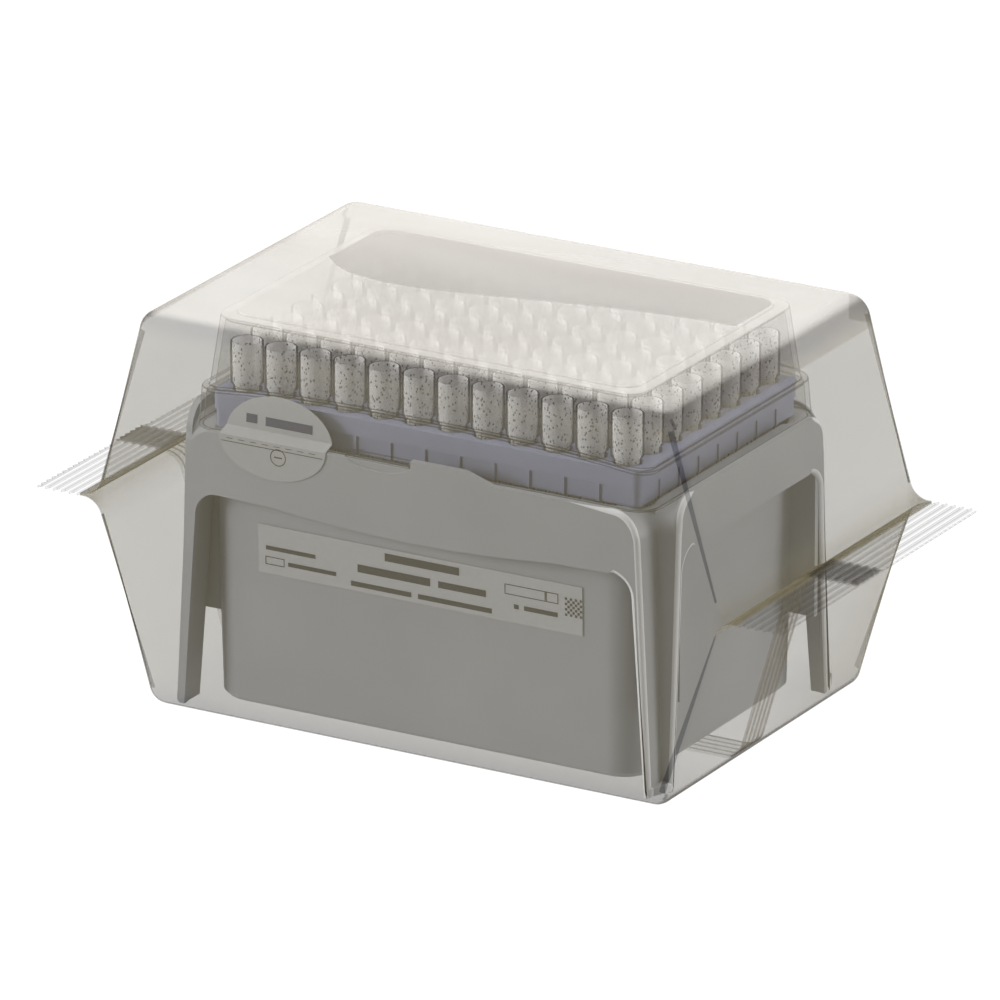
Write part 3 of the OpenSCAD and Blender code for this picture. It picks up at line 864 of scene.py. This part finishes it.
@dataclass
class Box:
    """The rigid box: its base with skirts, legs and tub, and the tray that carries the tips."""

    half_length: float = 64.4
    half_width: float = 43.0
    base_edge: float = 0.45
    tray_edge: float = 0.18
    rim: float = 1.1
    rim_steps: int = 3
    rim_from: Point = (50.0, 25.0)
    foot_z: float = 1.4
    lip_top: float = 69.6
    corner: float = 0.5

    def on_rim(self, m: Vector) -> bool:
        """Tell whether an edge lies along a right-hand corner notch, on the outside of a skirt."""
        if not self.foot_z < m.z < self.lip_top:
            return False
        from_x, from_y = self.rim_from
        if abs(m.y) > self.half_width - NEAR_MM:
            return from_x < m.x < self.half_length - self.corner
        on_end = m.x > self.half_length - NEAR_MM
        return on_end and from_y < abs(m.y) < self.half_width - self.corner

    def base(self) -> Piece:
        """Return the base with broad rims along its notches and the soft edges of a moulding, both paler
        as a painted highlight.
        """
        piece = merged_copy("base")
        skin = MouldedPolypropylene("grey_moulded_polypropylene", dark="#8C8E91", light="#919396")
        # A moulding's rounded edges take a paler finish than its skin, as a painted highlight where they
        # catch the light.
        rim = MouldedPolypropylene("grey_polypropylene_painted_edge_highlight", dark="#C8C9CB", light="#CDCED0")
        dress(piece, skin.build(), rim.build())
        with editing(piece, Element.EDGE):
            rims = pick(piece, Element.EDGE, self.on_rim)
            bpy.ops.mesh.bevel(offset=self.rim * MM, segments=self.rim_steps, material=1)
        LOG.info("base_moulding: %d rim edges rounded", rims)
        soften(piece, self.base_edge, segments=2, degrees=40, finish=1)
        return settle(piece, "base_moulding")

    def tray(self) -> Piece:
        """Return the tray with crisp moulded edges."""
        piece = merged_copy("rack_tray")
        # The tray's finer polish shows as a slightly brighter sheen than the base's.
        name = "blue_grey_moulded_polypropylene"
        finish = MouldedPolypropylene(name, "#8C90A9", "#9195AE", roughness=(0.38, 0.47), cloud_mm=18.0)
        dress(piece, finish.build())
        soften(piece, self.tray_edge, segments=1, degrees=50)
        return settle(piece, "tray_moulding")

    def build(self) -> None:
        """Build both mouldings."""
        self.base()
        self.tray()


@dataclass
class Lid:
    """The clear lid with its stepped skirt, raised panel, frosted field and thumb tab."""

    edge: float = 0.25
    panel_z: float = 93.5

    def build(self) -> Piece:
        """Return the lid, with rounded edges where the wall is seen edge on and reads darker."""
        piece = merged_copy("lid")
        # A clear wall's rounded edge gathers more plastic in the line of sight, as a dark line, which
        # its dark wall tint deepens as painted shade.
        name = "clear_polypropylene_rounded_edge"
        edge = ClearMoulding(name, wall_painted_shade="#33312C", tint="#A9A7A4", clear=0.6, top=0.6, edge=0.85)
        dress(piece, ClearMoulding().build(), edge.build())
        weigh_edges(piece, degrees=40, top=self.panel_z)
        soften(piece, self.edge, segments=2, degrees=40, finish=1, weighted=True)
        return settle(piece, "lid_moulding", casts_shadow=False)


@dataclass
class Tips:
    """The ninety-six tips: one is modelled, and copied to every hole of the tray."""

    pitch: float = 9.0
    columns: int = 12
    rows: int = 8
    length: float = 79.5
    collar: float = 10.5
    collar_r: float = 3.85
    neck: float = 1.0
    neck_r: float = 3.2
    point_r: float = 0.75
    wall: float = 0.5
    sides: int = 24
    # The shank narrows at this share of its height, to this share of the neck's radius.
    waist: float = 0.62
    waist_r: float = 0.72
    point_wall: float = 0.7
    shoulder_rise: float = 0.6
    bore_above: float = 0.8
    bore_below: float = 0.4
    lip: float = 0.15
    rib: float = 0.6
    rib_reach: tuple[float, float, float] = (0.2, 0.1, 0.3)

    def rings(self) -> list[Point]:
        """Return the tip's profile as (radius, height), up the outside and down the bore."""
        shoulder = self.length - self.collar
        seat = shoulder - self.neck
        under = seat * self.waist
        thin = self.neck_r * self.waist_r
        bore = self.neck_r - self.wall
        mouth = self.collar_r - self.wall
        return [
            (self.point_r, 0.0),
            (thin, under),
            (self.neck_r, seat),
            (self.neck_r, shoulder),
            (self.collar_r, shoulder + self.shoulder_rise),
            (self.collar_r, self.length - self.lip),
            (self.collar_r - self.lip, self.length),
            (mouth, self.length),
            (mouth, shoulder + self.bore_above),
            (bore, shoulder - self.bore_below),
            (bore, seat),
            (thin - self.wall, under),
            (self.point_r - self.wall * self.point_wall, 0.0),
        ]

    def tip(self) -> Piece:
        """Return one tip at the origin, point down: a ring drawn up the outside and down the bore."""
        rings = self.rings()
        radius, height = rings[0]
        bpy.ops.mesh.primitive_circle_add(
            vertices=self.sides, radius=radius * MM, rotation=(0, 0, math.pi / self.sides)
        )
        piece = bpy.context.object
        apply_place(piece)
        with editing(piece, Element.EDGE):
            select_all()
            for next_radius, next_height in rings[1:]:
                lift = (0, 0, (next_height - height) * MM)
                bpy.ops.mesh.extrude_edges_move(TRANSFORM_OT_translate={"value": lift})
                share = next_radius / radius
                centre = (0, 0, next_height * MM)
                bpy.ops.transform.resize(value=(share, share, 1), center_override=centre)
                radius, height = next_radius, next_height
            pick(piece, Element.EDGE, lambda m: m.z < NEAR_MM)
            bpy.ops.mesh.bridge_edge_loops()
            face_outwards()
            self.raise_ribs(piece)
        smooth(piece, degrees=50)
        for face in piece.data.polygons:
            outward = face.normal.x * face.center.x + face.normal.y * face.center.y
            face.material_index = 1 if outward < 0 else 0
        return piece

    def raise_ribs(self, piece: Piece) -> None:
        """Raise the four ribs of the neck, which stand on the tray."""
        middle = self.length - self.collar - self.neck / 2
        inward, aside, up = self.rib_reach

        def on_neck(m: Vector) -> bool:
            outside = math.hypot(m.x, m.y) > self.neck_r - inward
            on_axis = min(abs(m.x), abs(m.y)) < aside
            return outside and on_axis and abs(m.z - middle) < up

        pick(piece, Element.FACE, on_neck)
        bpy.ops.mesh.extrude_region_shrink_fatten(TRANSFORM_OT_shrink_fatten={"value": self.rib * MM})

    def half_columns(self) -> Iterator[tuple[str, float, list[float]]]:
        """Yield each half column's node name, its X, and the Y of each of its tips."""
        across = [(row - (self.rows + 1) / 2) * self.pitch for row in range(1, self.rows + 1)]
        half = self.rows // 2
        for column in range(1, self.columns + 1):
            x = (column - (self.columns + 1) / 2) * self.pitch
            yield f"tips_{column:02d}_front", x, across[:half]
            yield f"tips_{column:02d}_back", x, across[half:]

    def build(self) -> None:
        """Copy the tip to every hole, four to a piece, and let each piece stand for its node."""
        # Outside, a polished clear wall is drawn mostly by its dark outline.
        name = "natural_polypropylene_polished"
        outside = NaturalPolypropylene(name, "#3B3A38", wall=0.07, edge=0.95, roughness=0.3)
        # The matt bore behind it is what reads as milky, and carries the specks.
        name = "natural_polypropylene_matt_bore"
        bore = NaturalPolypropylene(name, "#FBFAF8", wall=0.6, edge=0.75, roughness=0.5, fleck_share=0.3)
        pattern = self.tip()
        # The faces already count their finishes, so the slots are filled and not cleared.
        for finish in (outside, bore):
            pattern.data.materials.append(finish.build())
        for node, x, across in self.half_columns():
            low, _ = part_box(node)
            copies = []
            for y in across:
                copy = pattern.copy()
                copy.data = pattern.data.copy()
                copy.data.transform(Matrix.Translation(Vector((x * MM, y * MM, low.z))))
                bpy.context.scene.collection.objects.link(copy)
                copies.append(copy)
            piece = settle(join(copies), f"{node}_set")
            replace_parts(piece, node)
        bpy.data.objects.remove(pattern)


@dataclass
class Labels:
    """The oval seal over the lid and base, and the long label on the tub, with generic print."""

    ink_t: float = 0.03
    cut_edge: float = 0.05
    line: float = 0.2
    stand_off: float = 60.0
    long_bars: tuple[Patch, ...] = (
        (-40.3, 40.3, 13.0, 1.0),
        (-34.5, 37.1, 12.6, 1.0),
        (-9.0, 43.2, 19.4, 1.9),
        (-16.2, 39.2, 19.0, 1.9),
        (4.9, 39.3, 12.4, 1.6),
        (-18.0, 35.6, 15.8, 1.2),
        (-0.4, 35.6, 19.2, 1.2),
        (27.2, 37.9, 8.7, 1.1),
        (24.6, 37.9, 1.2, 1.1),
    )
    # Each frame is drawn as an outline, for a symbol that boxes its words.
    long_frames: tuple[Patch, ...] = (
        (-40.5, 36.7, 5.0, 2.0),
        (22.2, 41.1, 10.6, 2.5),
        (32.9, 41.1, 3.2, 2.5),
    )
    checks: Patch = (37.8, 38.7, 4.5, 4.5)
    check_cells: int = 7
    check_fill: float = 0.92
    seal_bars: tuple[Patch, ...] = ((-39.6, 70.5, 12.3, 2.1), (-44.7, 70.6, 2.9, 2.1))
    # The ring's middle and its radius. A slash, this high, lies across it.
    ring: tuple[float, float, float] = (-34.46, 64.7, 2.05)
    ring_sides: int = 48
    slash: float = 0.3
    dash: Patch = (-48.0, 67.15, 1.6, 0.14)
    dash_pitch: float = 3.1
    dashes: int = 8
    fold: Patch = (-49.4, 66.35, 26.6, 0.16)

    def cut(self, node: str, name: str, stock: LabelFilm) -> Piece:
        """Return a label made from its solid, with its cut edge softened."""
        piece = merged_copy(node)
        dress(piece, stock.build())
        soften(piece, self.cut_edge, segments=1, degrees=60)
        return settle(piece, name)

    def bar(self, place: Patch) -> Piece:
        """Return one bar of ink as a flat sheet that faces the front, cut once each way to bend."""
        x, z, length, height = place
        bpy.ops.mesh.primitive_plane_add(
            size=1,
            location=((x + length / 2) * MM, -self.stand_off * MM, (z + height / 2) * MM),
            rotation=(math.pi / 2, 0, 0),
        )
        sheet = bpy.context.object
        sheet.scale = (length * MM, height * MM, 1)
        apply_place(sheet)
        with editing(sheet):
            select_all()
            bpy.ops.mesh.subdivide(number_cuts=1)
        return sheet

    def box_outline(self, place: Patch) -> Piece:
        """Return a bar's outline: the sheet inset by a line's width, with its middle cut out."""
        sheet = self.bar(place)
        x, z, length, height = place

        def inside(m: Vector) -> bool:
            across = abs(m.x - x - length / 2) < length / 2 - self.line
            return across and abs(m.z - z - height / 2) < height / 2 - self.line

        with editing(sheet):
            select_all()
            bpy.ops.mesh.inset(thickness=self.line * MM, use_even_offset=True)
            pick(sheet, Element.FACE, inside)
            bpy.ops.mesh.delete(type="FACE")
        return sheet

    def check_square(self) -> list[Piece]:
        """Return a square of plain checks, which carries no code."""
        x, z, length, height = self.checks
        wide, tall = length / self.check_cells, height / self.check_cells
        cells = range(self.check_cells)
        return [
            self.bar((x + wide * c, z + tall * r, wide * self.check_fill, tall * self.check_fill))
            for r in cells
            for c in cells
            if (r + c) % 2 == 0
        ]

    def ring_outline(self) -> Piece:
        """Return a thin ring of ink, drawn outwards from a circle."""
        x, z, radius = self.ring
        centre = (x * MM, -self.stand_off * MM, z * MM)
        bpy.ops.mesh.primitive_circle_add(
            vertices=self.ring_sides,
            radius=(radius - self.line) * MM,
            location=centre,
            rotation=(math.pi / 2, 0, 0),
        )
        sheet = bpy.context.object
        apply_place(sheet)
        share = radius / (radius - self.line)
        with editing(sheet, Element.EDGE):
            select_all()
            bpy.ops.mesh.extrude_edges_move(TRANSFORM_OT_translate={"value": (0, 0, 0)})
            bpy.ops.transform.resize(value=(share, 1, share), center_override=centre)
        return sheet

    def seal_lines(self) -> list[Piece]:
        """Return the seal's fold line, its row of dashes, and the ring with its slash."""
        x, z, length, height = self.dash
        dashes = [(x + i * self.dash_pitch, z, length, height) for i in range(self.dashes)]
        ring_x, ring_z, radius = self.ring
        slash = (ring_x - radius / 2, ring_z - self.slash / 2, radius, self.slash)
        return [self.bar(b) for b in (slash, self.fold, *dashes)] + [self.ring_outline()]

    def lay(self, sheets: list[Piece], label: Piece) -> Piece:
        """Lay flat ink on a label, so that it follows the label's lean and fold.

        Args:
            sheets: The sheets of ink, in front of the label.
            label: The label that they lie on.

        Returns:
            The print, with the ink's thickness.
        """
        ink = join(sheets)
        apply_modifier(
            ink,
            "SHRINKWRAP",
            target=label,
            wrap_method="PROJECT",
            use_project_y=True,
            use_positive_direction=True,
            use_negative_direction=True,
            offset=self.ink_t * MM,
        )
        with editing(ink):
            face_outwards()
        apply_modifier(ink, "SOLIDIFY", thickness=self.ink_t * MM, offset=0.0)
        return ink

    def build(self) -> None:
        """Build both labels and their print: bars, boxes and checks where there would be words."""
        seal_stock = LabelFilm("matt_label_film_seal", tint="#A8A9AA", cover=0.75)
        long_stock = LabelFilm("matt_label_film_long", tint="#B6B7B7", cover=0.68)
        seal = self.cut("seal_label", "seal_label_film", seal_stock)
        long_label = self.cut("front_label", "front_label_film", long_stock)
        # Thermal ribbon prints the long label near black; the seal's own inks are duller.
        black = LabelInk("thermal_transfer_ink_black", dark="#2A2927", light="#3A3937")
        blue = LabelInk("flexo_ink_slate_blue", dark="#33364A", light="#3F4256")
        grey = LabelInk("flexo_ink_grey", dark="#363534", light="#424140")
        long_sheets = [self.bar(b) for b in self.long_bars]
        long_sheets += [self.box_outline(b) for b in self.long_frames]
        lines = self.seal_lines()
        for sheets, label, name, slot, ink in (
            (long_sheets + self.check_square(), long_label, "front_label_print", "label", black),
            ([self.bar(b) for b in self.seal_bars], seal, "seal_print_upper", "seal", blue),
            (lines, seal, "seal_print_lines", "seal", grey),
        ):
            print_piece = self.lay(sheets, label)
            dress(print_piece, ink.build())
            settle(print_piece, name)


@dataclass
class Studio:
    """A pale floor, a broad soft light overhead, and the camera. Its places are in metres."""

    distance: float = 3.0
    azimuth: float = 29.88
    elevation: float = 19.97
    lens: float = 473.7
    target: tuple[float, float, float] = (-0.00105, -0.00069, 0.0472)
    floor_cloud_mm: float = 500.0
    lamp_size: float = 0.9
    lamp_aim: tuple[float, float, float] = (0.0, 0.0, 0.05)
    overhead_w: float = 35.0
    left_w: float = 48.0
    right_w: float = 32.0
    sky: float = 0.2

    def floor(self) -> None:
        """Add the floor: a pale sweep that glows a little, as a lit table does."""
        bpy.ops.mesh.primitive_plane_add(size=30, location=(0, 0, -0.0004))
        floor = bpy.context.object
        floor.name = "studio_floor"
        material, shader, place = new_material("pale_matt_sweep")
        cloud = noise(place, self.floor_cloud_mm)
        matt = {"Roughness": 1.0, "Specular IOR Level": 0.0}
        glow = {"Emission Color": (1.0, 1.0, 1.0, 1.0), "Emission Strength": 1.0}
        colour = ramp(cloud, NOISE_SPAN, ("#3B3B3B", "#3D3D3D"))
        wire(shader, values=matt | glow, links={"Base Color": colour})
        floor.data.materials.append(material)

    def lights(self) -> None:
        """Add the overhead softbox, one that grazes each pair of sides, and a weak even sky."""
        for name, place, power in (
            ("softbox_overhead", (0.05, -0.12, 2.2), self.overhead_w),
            ("softbox_left", (-1.74, -1.21, 0.57), self.left_w),
            ("softbox_right", (1.74, 1.21, 0.57), self.right_w),
        ):
            bpy.ops.object.light_add(type="AREA", location=place)
            lamp = bpy.context.object
            lamp.name = name
            lamp.data.size = self.lamp_size
            lamp.data.energy = power
            aim = Vector(self.lamp_aim) - Vector(place)
            lamp.rotation_euler = aim.to_track_quat("-Z", "Y").to_euler()
        world = bpy.data.worlds.new("even_sky")
        world.use_nodes = True
        background = next(n for n in world.node_tree.nodes if n.type == "BACKGROUND")
        background.inputs["Color"].default_value = (1.0, 1.0, 1.0, 1.0)
        background.inputs["Strength"].default_value = self.sky
        bpy.context.scene.world = world

    def camera(self) -> None:
        """Add the camera at its angle, and make it the scene's."""
        az, el = math.radians(self.azimuth), math.radians(self.elevation)
        back = Vector((math.sin(az) * math.cos(el), -math.cos(az) * math.cos(el), math.sin(el)))
        bpy.ops.object.camera_add(location=Vector(self.target) + back * self.distance)
        camera = bpy.context.object
        camera.rotation_euler = (-back).to_track_quat("-Z", "Y").to_euler()
        camera.data.lens = self.lens
        camera.data.sensor_width = 36.0
        camera.data.clip_end = 100.0
        bpy.context.scene.camera = camera

    def build(self) -> None:
        """Build the studio and set how its light is turned into the picture."""
        self.camera()
        self.floor()
        self.lights()
        scene = bpy.context.scene
        scene.view_settings.view_transform = "Standard"
        # A line of sight crosses dozens of clear walls of tips, but light needs few turns.
        scene.cycles.transparent_max_bounces = 96
        scene.cycles.max_bounces = 6
        scene.cycles.diffuse_bounces = 3
        scene.cycles.glossy_bounces = 2


def main() -> None:
    """Build every piece in order."""
    logging.basicConfig(level=logging.INFO, format="%(name)s: %(message)s")
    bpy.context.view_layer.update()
    Studio().build()
    Box().build()
    Tips().build()
    Lid().build()
    Labels().build()
    FilmWrap().build()


if __name__ == "__main__":
    main()
